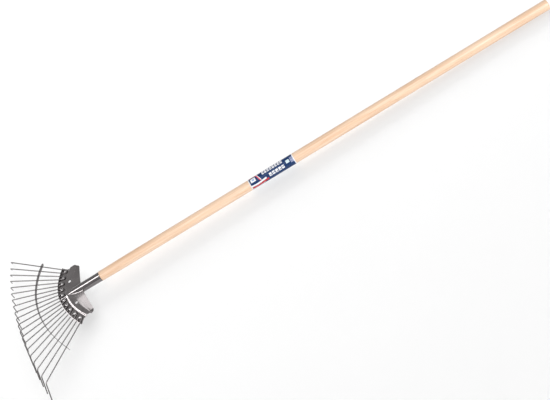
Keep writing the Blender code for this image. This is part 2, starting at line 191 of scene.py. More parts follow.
# Camera, in the row frame.
CAMERA_PLACE = (2.2229, 0.2489, 2.3892)
CAMERA_TARGET = (0.0650, -0.0435, 0.0)
CAMERA_ROLL = -37.5
CAMERA_LENS = 83.2


# ---- head frame ----------------------------------------------------------------


def head_place():
    """Matrix from the head frame to the row frame, from the butt face's mount."""
    mount = next(m for m in frame["record"]["mounts"] if m["name"] == "butt_face")
    tilt = math.atan2(mount["axis"][2], mount["axis"][1])
    turn = Matrix.Rotation(tilt, 4, "X")
    butt = turn @ Vector((0.0, HANDLE_END, 0.0))
    return Matrix.Translation(Vector(mount["pos_m"]) - butt) @ turn


HEAD = head_place()


def new_collection(name):
    made = bpy.data.collections.new(name)
    bpy.context.scene.collection.children.link(made)
    return made


# What the lights shine on: all of the rake, and groups of its pieces.
RAKE = new_collection("rake")
WOODEN = new_collection("wooden")
METAL = new_collection("metal")
PRESSED = new_collection("pressed")
STAGE = new_collection("stage")


def arch(x):
    """Height of the arched datum at a distance x from the middle."""
    return -ARCH_DROP * (x / ARCH_HALF) ** 2


def smoothstep(value):
    value = min(max(value, 0.0), 1.0)
    return value * value * (3.0 - 2.0 * value)


def lerp(low, high, share):
    return low + (high - low) * share


# ---- meshes --------------------------------------------------------------------


def add_piece(name, points, faces, finish, slot, replaced, sharp=SHARP):
    """A mesh piece in the head frame, which rides on the root body."""
    mesh = bpy.data.meshes.new(name)
    mesh.from_pydata([tuple(point) for point in points], [], faces)
    form = bmesh.new()
    form.from_mesh(mesh)
    bmesh.ops.recalc_face_normals(form, faces=form.faces)
    form.to_mesh(mesh)
    form.free()
    mesh.materials.append(finish)
    mesh.shade_smooth()
    mesh.set_sharp_from_angle(angle=math.radians(sharp))
    made = bpy.data.objects.new(name, mesh)
    RAKE.objects.link(made)
    made.matrix_world = HEAD
    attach(made, "root")
    wooden = slot in ("beech_wood", "printed_label")
    (WOODEN if wooden else METAL).objects.link(made)
    if replaced:
        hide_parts(*replaced)
    return made


def join_rings(rings, caps=True):
    """Points and faces of a skin over rings of equal length, with flat caps."""
    count = len(rings[0])
    points = [point for ring in rings for point in ring]
    faces = []
    for r in range(len(rings) - 1):
        for i in range(count):
            j = (i + 1) % count
            low = r * count
            faces.append((low + i, low + j, low + count + j, low + count + i))
    if caps:
        last = (len(rings) - 1) * count
        faces.append(tuple(range(count)))
        faces.append(tuple(range(last + count - 1, last - 1, -1)))
    return points, faces


def turned(profile, sides, place=None, wave=None):
    """Skin of (radius, height) points turned round Z, from one end to the other."""
    place = place or Matrix.Identity(4)
    rings = []
    for radius, height in profile:
        ring = []
        for i in range(sides):
            angle = math.tau * i / sides
            reach = radius + (wave(angle, height) if wave else 0.0)
            ring.append(place @ Vector((reach * math.cos(angle), reach * math.sin(angle), height)))
        rings.append(ring)
    return join_rings(rings)


def wire(path, radius, sides):
    """Round bar along a path, with its cut ends softly rounded."""
    tangents = []
    for i in range(len(path)):
        ahead = path[min(i + 1, len(path) - 1)] - path[max(i - 1, 0)]
        tangents.append(ahead.normalized())
    normal = tangents[0].orthogonal().normalized()
    stations = []
    for i, (place, ahead) in enumerate(zip(path, tangents)):
        if i:
            normal = (tangents[i - 1].rotation_difference(ahead) @ normal).normalized()
        stations.append((place, normal.copy(), ahead.cross(normal), 1.0))
    ends = ((0.0, 0.55), (0.12, 0.80), (0.35, 0.95), (0.8, 1.0))
    place, normal, across, _ = stations[0]
    near = [(place + tangents[0] * radius * back, normal, across, size) for back, size in ends]
    place, normal, across, _ = stations[-1]
    far = [(place - tangents[-1] * radius * back, normal, across, size)
           for back, size in reversed(ends)]
    rings = []
    for place, normal, across, size in [*near, *stations[1:-1], *far]:
        rings.append([place + (normal * math.cos(a) + across * math.sin(a)) * radius * size
                      for a in (math.tau * k / sides for k in range(sides))])
    return join_rings(rings)


def sheet_shell(grid, thickness, offset, edge=0.5, ease=0):
    """Closed sheet over a grid of points, with a rounded rim.

    offset is the share of the thickness that lies above the grid's own surface,
    and edge is how far the rim stands out, in half thicknesses. ease is how many
    times the normals are averaged, so that the underside doesn't fold at a tight
    bead.
    """
    columns, rows = len(grid), len(grid[0])
    normals = []
    for c in range(columns):
        line = []
        for r in range(rows):
            along = grid[min(c + 1, columns - 1)][r] - grid[max(c - 1, 0)][r]
            up = grid[c][min(r + 1, rows - 1)] - grid[c][max(r - 1, 0)]
            line.append(along.cross(up).normalized())
        normals.append(line)
    for _ in range(ease):
        normals = [[(normals[c][r] * 2.0
                     + normals[max(c - 1, 0)][r] + normals[min(c + 1, columns - 1)][r]
                     + normals[c][max(r - 1, 0)] + normals[c][min(r + 1, rows - 1)]
                     ).normalized() for r in range(rows)] for c in range(columns)]
    normals = [normal for line in normals for normal in line]
    points = [point + normal * thickness * offset
              for point, normal in zip((p for line in grid for p in line), normals)]
    total = len(points)
    points += [point - normal * thickness for point, normal in zip(points, normals)]
    faces = []
    for c in range(columns - 1):
        for r in range(rows - 1):
            a, b = c * rows + r, (c + 1) * rows + r
            faces.append((a, b, b + 1, a + 1))
            faces.append((a + total, a + 1 + total, b + 1 + total, b + total))
    rim = list(range(rows))
    rim += [c * rows + rows - 1 for c in range(1, columns)]
    rim += [(columns - 1) * rows + r for r in range(rows - 2, -1, -1)]
    rim += [c * rows for c in range(columns - 2, 0, -1)]
    count = len(rim)
    steps = 3
    rings = [rim]
    for k in range(1, steps + 1):
        turn = math.pi * k / (steps + 1)
        ring = []
        for i, index in enumerate(rim):
            along = points[rim[(i + 1) % count]] - points[rim[i - 1]]
            out = normals[index].cross(along).normalized()
            half = thickness / 2
            ring.append(len(points))
            points.append(points[index] + out * half * edge * math.sin(turn)
                          - normals[index] * half * (1.0 - math.cos(turn)))
        rings.append(ring)
    rings.append([index + total for index in rim])
    for upper, lower in zip(rings, rings[1:]):
        for i in range(count):
            j = (i + 1) % count
            faces.append((upper[i], upper[j], lower[j], lower[i]))
    return points, faces


def cut(made, spans, radius, sides=24):
    """Drill a round hole along each span, from start to end, through a piece."""
    form = bmesh.new()
    for start, end in spans:
        along = end - start
        turn = along.to_track_quat("Z", "Y").to_matrix().to_4x4()
        bmesh.ops.create_cone(form, cap_ends=True, segments=sides, radius1=radius,
                              radius2=radius, depth=along.length,
                              matrix=Matrix.Translation((start + end) / 2) @ turn)
    subtract(made, form)


def subtract(made, form):
    """Take a bmesh form, which is freed, out of a piece's own mesh."""
    mesh = bpy.data.meshes.new("cutter")
    form.to_mesh(mesh)
    form.free()
    cutter = bpy.data.objects.new("cutter", mesh)
    bpy.context.scene.collection.objects.link(cutter)
    cutter.matrix_world = HEAD
    modifier = made.modifiers.new("cut", "BOOLEAN")
    modifier.operation = "DIFFERENCE"
    modifier.solver = "EXACT"
    modifier.object = cutter
    bpy.context.view_layer.update()
    graph = bpy.context.evaluated_depsgraph_get()
    solid = bpy.data.meshes.new_from_object(made.evaluated_get(graph))
    made.modifiers.clear()
    old = made.data
    made.data = solid
    solid.name = made.name
    bpy.data.meshes.remove(old)
    bpy.data.objects.remove(cutter)
    bpy.data.meshes.remove(mesh)
    solid.shade_smooth()
    solid.set_sharp_from_angle(angle=math.radians(SHARP))


def spline(points, steps):
    """Catmull-Rom curve through the points, with steps[i] pieces in span i."""
    made = []
    for i, count in enumerate(steps):
        before = points[max(i - 1, 0)]
        start, end = points[i], points[i + 1]
        after = points[min(i + 2, len(points) - 1)]
        for k in range(count):
            t = k / count
            made.append(0.5 * ((2 * start) + (end - before) * t
                               + (2 * before - 5 * start + 4 * end - after) * t ** 2
                               + (3 * start - before - 3 * end + after) * t ** 3))
    made.append(points[-1].copy())
    return made


def rounded_corner(before, corner, after, radius, steps):
    """Points of the arc that rounds the corner between two straight runs."""
    back = (before - corner).normalized()
    ahead = (after - corner).normalized()
    half_angle = back.angle(ahead) / 2.0
    bisector = (back + ahead).normalized()
    centre = corner + bisector * (radius / math.sin(half_angle))
    start = corner + back * (radius / math.tan(half_angle))
    axis = back.cross(ahead).normalized()
    sweep = math.pi - 2.0 * half_angle
    arm = start - centre
    return [centre + Matrix.Rotation(-sweep * i / steps, 3, axis) @ arm
            for i in range(steps + 1)]


# ---- materials -----------------------------------------------------------------


class Finish:
    """A node material and short calls that add nodes to it."""

    def __init__(self, name):
        self.material = bpy.data.materials.new(name)
        self.material.use_nodes = True
        self.tree = self.material.node_tree
        self.shader = self.tree.nodes["Principled BSDF"]
        self.place = self.node("TexCoord").outputs["Object"]

    def node(self, kind, inputs=None, **settings):
        made = self.tree.nodes.new("ShaderNode" + kind)
        for key, value in settings.items():
            setattr(made, key, value)
        for key, value in (inputs or {}).items():
            self.put(made.inputs[key], value)
        return made

    def put(self, socket, value):
        if isinstance(value, bpy.types.NodeSocket):
            self.tree.links.new(value, socket)
        elif socket.type == "RGBA" and not hasattr(value, "__len__"):
            socket.default_value = (value, value, value, 1.0)
        elif socket.type == "RGBA" and len(value) == 3:
            socket.default_value = (*value, 1.0)
        else:
            socket.default_value = value

    def set(self, **values):
        """Shader sockets by name, with _ for a space."""
        for key, value in values.items():
            self.put(self.shader.inputs[key.replace("_", " ")], value)

    def math(self, operation, a, b=0.0, clamp=False):
        return self.node("Math", {0: a, 1: b}, operation=operation, use_clamp=clamp).outputs[0]

    def stretched(self, scale):
        return self.node("Mapping", {"Vector": self.place, "Scale": scale}).outputs[0]

    def noise(self, vector, scale, detail, roughness=0.5):
        return self.node("TexNoise", {"Vector": vector, "Scale": scale, "Detail": detail,
                                      "Roughness": roughness}).outputs["Fac"]

    def span(self, value, low, high, to_low=0.0, to_high=1.0):
        """Smooth step of a value between low and high."""
        return self.node("MapRange", {"Value": value, "From Min": low, "From Max": high,
                                      "To Min": to_low, "To Max": to_high},
                         interpolation_type="SMOOTHSTEP").outputs[0]

    def mix(self, factor, a, b):
        made = self.node("Mix", data_type="RGBA")
        self.put(made.inputs[0], factor)
        self.put(made.inputs[6], a)
        self.put(made.inputs[7], b)
        return made.outputs[2]

    def bump(self, height, strength, distance):
        return self.node("Bump", {"Height": height, "Strength": strength,
                                  "Distance": distance}).outputs[0]


def beech():
    """Straight-grained beech: soft growth bands, fine ray flecks, a satin coat."""
    f = Finish("beech_wood")
    drift = f.noise(f.stretched((6.0, 1.1, 6.0)), 1.0, 2.0)
    split = f.node("SeparateXYZ", {"Vector": f.place})
    plank = f.math("ADD", f.math("MULTIPLY", split.outputs["X"], 0.82),
                   f.math("MULTIPLY", split.outputs["Z"], 0.57))
    rings = f.math("ADD", f.math("MULTIPLY", plank, 300.0), f.math("MULTIPLY", drift, 16.0))
    late = f.span(f.math("FRACT", rings), 0.15, 0.95)
    early = f.span(f.math("FRACT", rings), 0.0, 0.10)
    band = f.math("MULTIPLY", late, early)
    streaks = f.noise(f.stretched((1.0, 0.02, 1.0)), 420.0, 4.0, 0.6)
    broad = f.noise(f.stretched((1.0, 0.10, 1.0)), 60.0, 2.0)
    fleck = f.noise(f.stretched((1.0, 0.16, 1.0)), 2300.0, 2.0, 0.5)
    flecks = f.span(fleck, 0.60, 0.72)
    colour = f.mix(f.span(broad, 0.3, 0.7), (0.92, 0.670, 0.475), (0.79, 0.520, 0.335))
    colour = f.mix(f.math("MULTIPLY", band, 0.42), colour, (0.70, 0.42, 0.255))
    colour = f.mix(f.span(streaks, 0.35, 0.70, 0.0, 0.55), colour, (0.94, 0.74, 0.58))
    colour = f.mix(f.math("MULTIPLY", flecks, 0.30), colour, (0.50, 0.29, 0.155))
    f.set(Base_Color=colour, Roughness=f.span(streaks, 0.2, 0.8, 0.36, 0.48),
          Coat_Weight=0.25, Coat_Roughness=0.22,
          Normal=f.bump(f.math("ADD", streaks, f.math("MULTIPLY", flecks, -0.6)), 0.12, 0.0003))
    return f.material


def graphite():
    """Glossy graphite paint: metallic flake, faint orange peel, thin dust."""
    f = Finish("graphite_paint")
    cloud = f.noise(f.place, 38.0, 4.0, 0.6)
    flake = f.node("TexVoronoi", {"Vector": f.place, "Scale": 2600.0}).outputs["Color"]
    glint = f.node("SeparateColor", {"Color": flake}).outputs[0]
    colour = f.mix(f.span(cloud, 0.3, 0.7), (0.175, 0.160, 0.162), (0.225, 0.208, 0.208))
    colour = f.mix(f.span(glint, 0.75, 1.0, 0.0, 0.30), colour, (0.36, 0.34, 0.34))
    peel = f.noise(f.place, 420.0, 2.0)
    dust = f.noise(f.place, 130.0, 5.0, 0.7)
    f.set(Base_Color=colour, Metallic=0.9,
          Roughness=f.span(dust, 0.35, 0.75, 0.12, 0.22),
          Coat_Weight=0.6, Coat_Roughness=0.06,
          Normal=f.bump(peel, 0.05, 0.0004))
    return f.material


def spring_steel():
    """Dark coated spring wire, with the coat rubbed thin in patches and at the tips."""
    f = Finish("spring_wire")
    cloud = f.noise(f.stretched((1.0, 0.25, 1.0)), 160.0, 4.0, 0.65)
    fine = f.noise(f.place, 1500.0, 2.0)
    height = f.node("SeparateXYZ", {"Vector": f.place}).outputs["Z"]
    rubbed = f.math("MULTIPLY", f.span(height, -0.022, -0.038),
                    f.span(cloud, 0.42, 0.62), clamp=True)
    colour = f.mix(f.span(cloud, 0.3, 0.7), (0.118, 0.110, 0.111), (0.180, 0.168, 0.168))
    colour = f.mix(f.math("MULTIPLY", rubbed, 0.6), colour, (0.34, 0.33, 0.32))
    f.set(Base_Color=colour, Metallic=0.85,
          Roughness=f.span(fine, 0.3, 0.7, 0.26, 0.40),
          Coat_Weight=0.25, Coat_Roughness=0.20,
          Normal=f.bump(fine, 0.06, 0.0002))
    return f.material


def zinc():
    """Dull zinc plate with fine turning marks."""
    f = Finish("zinc_steel")
    cloud = f.noise(f.place, 700.0, 4.0, 0.7)
    colour = f.mix(f.span(cloud, 0.3, 0.7), (0.22, 0.21, 0.21), (0.33, 0.32, 0.32))
    f.set(Base_Color=colour, Metallic=1.0, Roughness=f.span(cloud, 0.3, 0.7, 0.20, 0.34),
          Normal=f.bump(cloud, 0.08, 0.0002))
    return f.material


def label_film():
    """Printed film: navy field, white borders, a white and red band, plain blocks.

    s is the distance from the sleeve's head end and a the distance round the
    sleeve from its top towards +X, both in millimetres.
    """
    f = Finish("printed_label")
    split = f.node("SeparateXYZ", {"Vector": f.place})
    s = f.math("MULTIPLY", f.math("SUBTRACT", split.outputs["Y"], LABEL_START), 1000.0)
    turn = f.math("ARCTAN2", split.outputs["X"], split.outputs["Z"])
    a = f.math("MULTIPLY", turn, LABEL_OUTER * 1000.0)

    def inside(value, low, high, soft=0.25):
        rise = f.span(value, low - soft, low + soft)
        fall = f.span(value, high - soft, high + soft, 1.0, 0.0)
        return f.math("MULTIPLY", rise, fall)

    def box(s_low, s_high, a_low, a_high):
        return f.math("MULTIPLY", inside(s, s_low, s_high), inside(a, a_low, a_high))

    def blocks(s_low, s_high, a_low, a_high, pitch, duty, notch):
        """A row of plain blocks, each with a thin slot across part of it."""
        cell = f.math("DIVIDE", f.math("SUBTRACT", s, s_low), pitch)
        phase = f.math("FRACT", cell)
        bar = inside(phase, 0.03, duty, 0.03)
        number = f.math("FLOOR", cell)
        chance = f.node("TexWhiteNoise", {"W": number}, noise_dimensions="1D").outputs["Value"]
        middle = f.math("ADD", a_low + (a_high - a_low) * 0.30,
                        f.math("MULTIPLY", chance, (a_high - a_low) * 0.35))
        slot = inside(f.math("SUBTRACT", a, middle), 0.0, notch, 0.2)
        reach = inside(phase, duty * 0.30, duty * 0.95, 0.03)
        slit = f.math("MULTIPLY", slot, reach)
        solid = f.math("MULTIPLY", bar, box(s_low, s_high, a_low, a_high))
        return f.math("MULTIPLY", solid, f.math("SUBTRACT", 1.0, slit))

    navy = (0.004, 0.028, 0.110)
    white = (0.86, 0.87, 0.90)
    red = (0.56, 0.030, 0.035)
    ink = f.noise(f.place, 900.0, 2.0)
    field = f.mix(f.span(ink, 0.3, 0.7), navy, (0.007, 0.040, 0.140))
    dark = f.math("MULTIPLY", inside(s, 1.0, 27.0), inside(a, -13.0, -4.5))
    field = f.mix(dark, field, (0.190, 0.014, 0.046))
    sway = f.math("MULTIPLY", f.math("SINE", f.math("MULTIPLY", s, 0.085)), 1.6)
    across = f.math("SUBTRACT", a, f.math("ADD", sway, 17.0))
    swoosh = f.math("MULTIPLY", inside(across, -2.6, 2.0), inside(s, 1.0, 47.0, 1.0))
    field = f.mix(swoosh, field, white)
    stripe = f.math("MULTIPLY", inside(across, 2.6, 8.2), inside(s, 2.0, 52.0, 1.0))
    field = f.mix(stripe, field, red)
    trim = f.math("MULTIPLY", inside(across, 8.9, 11.0), inside(s, 2.0, 40.0, 1.0))
    field = f.mix(trim, field, white)
    slant = f.math("SUBTRACT", s, f.math("MULTIPLY", a, 0.35))
    field = f.mix(f.math("MULTIPLY", inside(slant, 24.5, 27.5), inside(a, -9.0, 13.5)),
                  field, (0.75, 0.10, 0.14))
    field = f.mix(f.math("MULTIPLY", inside(slant, 27.5, 29.3), inside(a, -9.0, 13.5)),
                  field, white)
    field = f.mix(box(6.0, 20.0, -2.5, 8.5), field, white)
    field = f.mix(box(10.5, 16.5, 0.5, 5.5), field, (0.30, 0.45, 0.72))
    field = f.mix(blocks(40.5, 102.0, -7.6, 3.4, 7.7, 0.78, 2.0), field, white)
    field = f.mix(blocks(56.5, 103.0, 9.4, 18.4, 9.3, 0.80, 1.8), field, white)
    field = f.mix(box(109.0, 118.5, 3.6, 12.0), field, (0.62, 0.74, 0.78))
    for low in (121.6, 124.6, 127.4):
        field = f.mix(box(low, low + 1.7, 0.5, 16.0), field, (0.42, 0.46, 0.66))
    panel = f.math("MULTIPLY", inside(s, 58.0, 112.0), inside(a, -36.0, -20.0))
    field = f.mix(panel, field, white)
    lines = f.math("FRACT", f.math("MULTIPLY", a, 0.42))
    words = f.math("GREATER_THAN", f.noise(f.stretched((0.0, 1.0, 0.0)), 260.0, 1.0), 0.42)
    dashes = f.math("MULTIPLY", inside(lines, 0.25, 0.65, 0.05), words)
    small = f.math("MULTIPLY", inside(s, 61.0, 109.0), inside(a, -34.5, -21.5))
    field = f.mix(f.math("MULTIPLY", f.math("MULTIPLY", dashes, small), 0.8),
                  field, (0.05, 0.07, 0.15))
    border = f.math("MAXIMUM", f.span(s, 2.7, 2.2), f.span(s, 129.4, 129.9))
    field = f.mix(border, field, white)
    rub = f.noise(f.place, 260.0, 4.0, 0.7)
    f.set(Base_Color=field, Roughness=f.span(rub, 0.3, 0.8, 0.24, 0.36),
          Coat_Weight=0.1, Coat_Roughness=0.12, Specular_IOR_Level=0.3,
          Normal=f.bump(f.noise(f.place, 120.0, 2.0), 0.05, 0.0004))
    return f.material


def table_top():
    """Plain pale acrylic, lit from below, which spreads light and so softens shadows."""
    f = Finish("pale_table")
    cloud = f.noise(f.place, 3.0, 2.0)
    colour = f.mix(f.span(cloud, 0.3, 0.7), (0.360, 0.360, 0.360), (0.365, 0.365, 0.365))
    f.set(Base_Color=colour, Roughness=0.9, Specular_IOR_Level=0.1,
          Subsurface_Weight=1.0, Subsurface_Radius=(1.0, 1.0, 1.0), Subsurface_Scale=0.03,
          Emission_Color=1.0, Emission_Strength=FLOOR_GLOW)
    return f.material


# ---- handle and label ----------------------------------------------------------


AXIS = Matrix.Rotation(math.radians(-90.0), 4, "X")


def make_handle(finish):
    def wave(angle, height):
        if height < SOCKET_MOUTH + 0.002 or height > HANDLE_END - 0.0001:
            return 0.0
        if LABEL_START - 0.01 < height < LABEL_START + LABEL_LENGTH + 0.01:
            return 0.0
        place = Vector((math.cos(angle) * 0.4, math.sin(angle) * 0.4, height * 9.0))
        return HANDLE_WAVE * noise.noise(place)

    label_end = LABEL_START + LABEL_LENGTH
    seat = HANDLE_RADIUS - LABEL_SEAT
    neck_end = SOCKET_MOUTH + NECK_LENGTH
    profile = [(0.0008, SPIGOT_END), (0.0080, SPIGOT_END), (0.0084, SPIGOT_END + 0.0004),
               (SPIGOT_RADIUS - 0.0004, SPIGOT_END + 0.004),
               (SPIGOT_RADIUS, SOCKET_MOUTH + CUT_GAP),
               (NECK_RADIUS - 0.0010, SOCKET_MOUTH + 0.0004),
               (NECK_RADIUS - 0.0003, SOCKET_MOUTH + 0.0010),
               (NECK_RADIUS, SOCKET_MOUTH + 0.0020)]
    steps = 8
    profile += [(lerp(NECK_RADIUS, HANDLE_RADIUS, smoothstep(i / steps)),
                 lerp(SOCKET_MOUTH + 0.002, neck_end, i / steps)) for i in range(1, steps + 1)]

    def stave(start, end):
        pitch = 0.012
        count = max(1, round((end - start) / pitch))
        return [(HANDLE_RADIUS, lerp(start, end, i / count)) for i in range(1, count + 1)]

    profile += stave(neck_end, LABEL_START - CUT_GAP)
    profile += [(seat, LABEL_START - CUT_GAP + 0.00005), (seat, label_end + CUT_GAP - 0.00005),
                (HANDLE_RADIUS, label_end + CUT_GAP)]
    profile += stave(label_end + CUT_GAP, HANDLE_END - HANDLE_EDGE)
    for i in range(1, 9):
        turn = math.radians(90.0 * i / 8)
        profile.append((HANDLE_RADIUS - HANDLE_EDGE * (1.0 - math.cos(turn)),
                        HANDLE_END - HANDLE_EDGE * (1.0 - math.sin(turn))))
    profile += [(0.006, HANDLE_END), (0.0008, HANDLE_END)]
    points, faces = turned(profile, 72, AXIS, wave)
    handle = add_piece("beech_handle", points, faces, finish, "beech_wood", ["handle"])
    start = Vector((-HANDLE_RADIUS - 0.002, SCREW_AT, 0.0))
    end = Vector((-SOCKET_RADIUS + SCREW_LENGTH + 0.001, SCREW_AT, 0.0))
    cut(handle, [(start, end)], SCREW_RADIUS + CUT_GAP)


def make_label(finish):
    """A thin sleeve whose ends overlap in a narrow lap underneath."""
    def lap(angle):
        below = abs((angle - math.radians(100.0) + math.pi) % math.tau - math.pi)
        return LABEL_LAP * smoothstep((LAP_WIDTH / 2 - below * LABEL_OUTER) / 0.0006 + 0.5)

    thick = LABEL_OUTER - LABEL_INNER
    top = LABEL_START + LABEL_LENGTH
    section = [(LABEL_INNER, LABEL_START + 0.0001), (LABEL_INNER + thick * 0.5, LABEL_START),
               (LABEL_OUTER, LABEL_START + 0.0001)]
    section += [(LABEL_OUTER, lerp(LABEL_START, top, i / 12)) for i in range(1, 12)]
    section += [(LABEL_OUTER, top - 0.0001), (LABEL_INNER + thick * 0.5, top),
                (LABEL_INNER, top - 0.0001)]
    rings = []
    sides = 144
    for radius, height in section:
        ring = []
        for i in range(sides):
            angle = math.tau * i / sides
            reach = radius + (lap(angle) if radius > LABEL_INNER else 0.0)
            ring.append(AXIS @ Vector((reach * math.cos(angle), reach * math.sin(angle), height)))
        rings.append(ring)
    points, faces = join_rings(rings, caps=False)
    last = (len(rings) - 1) * sides
    faces += [(last + i, last + (i + 1) % sides, (i + 1) % sides, i) for i in range(sides)]
    add_piece("label_sleeve", points, faces, finish, "printed_label", ["handle_label"],
              sharp=60.0)


# ---- socket --------------------------------------------------------------------


def socket_section(y):
    """Height of the socket's middle and its radius at a place along the handle."""
    if y >= SHOULDER:
        share = (y - SHOULDER) / (SOCKET_MOUTH - SHOULDER)
        return 0.0, lerp(SHOULDER_RADIUS, SOCKET_RADIUS, share)
    run = max((y - NOSE) / (SHOULDER - NOSE), 0.0)
    fullness = 1.0 - (1.0 - run) ** NOSE_BLUNTNESS
    return NOSE_RISE * (1.0 - fullness), lerp(NOSE_RADIUS, SHOULDER_RADIUS, fullness)


def socket_ring(y, inset):
    """One ring of the socket, with its folded seam as a narrow groove underneath."""
    sides = 112
    rise, radius = socket_section(y)
    radius -= inset
    seam = smoothstep((y - SHOULDER + 0.004) / 0.012) if inset < SOCKET_WALL else 0.0
    ring = []
    for i in range(sides):
        share = i / sides * 2.0 - 1.0
        angle = math.pi * (0.25 * share + 0.75 * share ** 3)
        off = (math.pi - abs(angle)) * radius
        groove = SEAM_DEPTH * seam * smoothstep(1.5 - off / SEAM_HALF)
        reach = radius - groove
        ring.append(Vector((reach * math.sin(angle), y, rise + reach * math.cos(angle))))
    return ring


def make_socket(finish):
    rings = []
    steps = 34
    for i in range(steps + 1):
        share = (i / steps) ** 2.0
        rings.append(socket_ring(lerp(NOSE, SHOULDER, share), 0.0))
    lip = 0.0004
    rings += [socket_ring(lerp(SHOULDER, SOCKET_MOUTH - lip, i / 10), 0.0) for i in range(1, 11)]
    rings.append(socket_ring(SOCKET_MOUTH - lip * 0.3, lip * 0.3))
    rings.append(socket_ring(SOCKET_MOUTH, lip))
    rings.append(socket_ring(SOCKET_MOUTH, SOCKET_WALL - lip))
    rings.append(socket_ring(SOCKET_MOUTH - lip, SOCKET_WALL))
    rings += [socket_ring(lerp(SOCKET_MOUTH, SHOULDER, i / 6), SOCKET_WALL) for i in range(1, 7)]
    rings += [socket_ring(lerp(SHOULDER, BORE_END, i / 8), SOCKET_WALL) for i in range(1, 9)]
    points, faces = join_rings(rings)
    socket = add_piece("socket_tube", points, faces, finish, "graphite_paint", ["socket"])
    hole = (Vector((-SOCKET_RADIUS - 0.004, SCREW_AT, 0.0)), Vector((-0.004, SCREW_AT, 0.0)))
    cut(socket, [hole], SCREW_RADIUS + CUT_GAP)


def make_fillets(head, finish):
    """Braze between the socket's sides and the pressed head, hollow on its face."""
    mesh = head.data
    tree = BVHTree.FromPolygons([v.co for v in mesh.vertices],
                                [tuple(p.vertices) for p in mesh.polygons])
    steps = 26
    for side, word in ((1, "right"), (-1, "left")):
        rings = []
        for i in range(steps + 1):
            share = i / steps
            y = lerp(FILLET_START, FILLET_END, share)
            rise, radius = socket_section(y)
            width = FILLET_WIDTH * (1.0 - 0.45 * share ** 3)
            x = radius + width
            hit = tree.ray_cast(Vector((side * x, y, 0.05)), Vector((0.0, 0.0, -1.0)))[0]
            foot = hit.z if hit else arch(x)
            top = foot + width
            lean = max(radius ** 2 - (top - rise) ** 2, 0.0)
            wall = math.sqrt(lean)
            ring = [Vector((side * (wall - 0.0012), y, top)),
                    Vector((side * (wall - 0.0012), y, foot - 0.0010)),
                    Vector((side * (x + 0.0004), y, foot - 0.0010))]
            for k in range(9):
                turn = math.radians(90.0 * k / 8)
                ring.append(Vector((side * (wall + (x - wall) * (1.0 - math.sin(turn))), y,
                                    foot + 0.00005 + (top - foot) * (1.0 - math.cos(turn)))))
            rings.append(ring)
        points, faces = join_rings(rings)
        braze = add_piece("socket_braze_" + word, points, faces, finish, "graphite_paint",
                          [], sharp=50.0)
        PRESSED.objects.link(braze)


def make_screw(finish):
    """Pan-head screw with a cross recess, on the socket's side."""
    top = CUT_GAP + SCREW_HEAD_HEIGHT
    tip = CUT_GAP - SCREW_LENGTH
    profile = [(0.0002, tip), (SCREW_RADIUS * 0.7, tip + 0.003)]
    for i in range(THREAD_TURNS):
        low = tip + 0.004 + THREAD_PITCH * i
        profile += [(SCREW_RADIUS * 0.82, low), (SCREW_RADIUS, low + 0.0004),
                    (SCREW_RADIUS * 0.82, low + 0.0008)]
    profile += [(SCREW_RADIUS, CUT_GAP), (SCREW_HEAD_RADIUS - 0.0003, CUT_GAP),
                (SCREW_HEAD_RADIUS, CUT_GAP + 0.0003)]
    for i in range(1, 8):
        turn = math.radians(90.0 * i / 8)
        profile.append((SCREW_HEAD_RADIUS * math.cos(turn) ** 0.7,
                        lerp(CUT_GAP + 0.0003, top, math.sin(turn))))
    profile.append((0.0003, top))
    place = (Matrix.Translation((-SOCKET_RADIUS, SCREW_AT, 0.0))
             @ Matrix.Rotation(math.radians(-90.0), 4, "Y"))
    points, faces = turned(profile, 40, place)
    screw = add_piece("screw_cross_head", points, faces, finish, "fastener_steel",
                      ["socket_screw"])
    for turn in (20.0, 110.0):
        form = bmesh.new()
        arm = (place @ Matrix.Translation((0.0, 0.0, top))
               @ Matrix.Rotation(math.radians(turn), 4, "Z")
               @ Matrix.Diagonal((*RECESS_ARM, 1.0)))
        bmesh.ops.create_cube(form, size=1.0, matrix=arm)
        subtract(screw, form)


# ---- pressed head --------------------------------------------------------------


